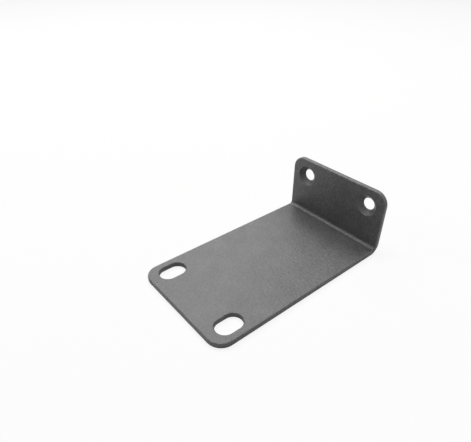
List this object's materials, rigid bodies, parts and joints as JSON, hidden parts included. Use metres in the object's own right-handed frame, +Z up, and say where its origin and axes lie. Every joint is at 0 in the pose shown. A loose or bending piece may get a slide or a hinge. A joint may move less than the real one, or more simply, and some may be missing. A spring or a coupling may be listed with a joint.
{
  "type": "rack mount ear bracket",
  "caption": "L-shaped steel rack ear folded from one sheet, with rack slots at the end of its long leg and countersunk screw holes in its short flange.",
  "frame": {"origin": "middle of the leg's length and width, on the flat face that the ear rests on", "axes": "+X along the leg towards the flange, +Y across the ear, +Z up, the way the flange rises"},
  "size_m": [0.0752, 0.0436, 0.0247],
  "materials": {
    "powder_coat": "satin, finely textured dark grey powder coat"
  },
  "bodies": {
    "root": {"rack_ear": "powder_coat"}
  },
  "joints": []
}
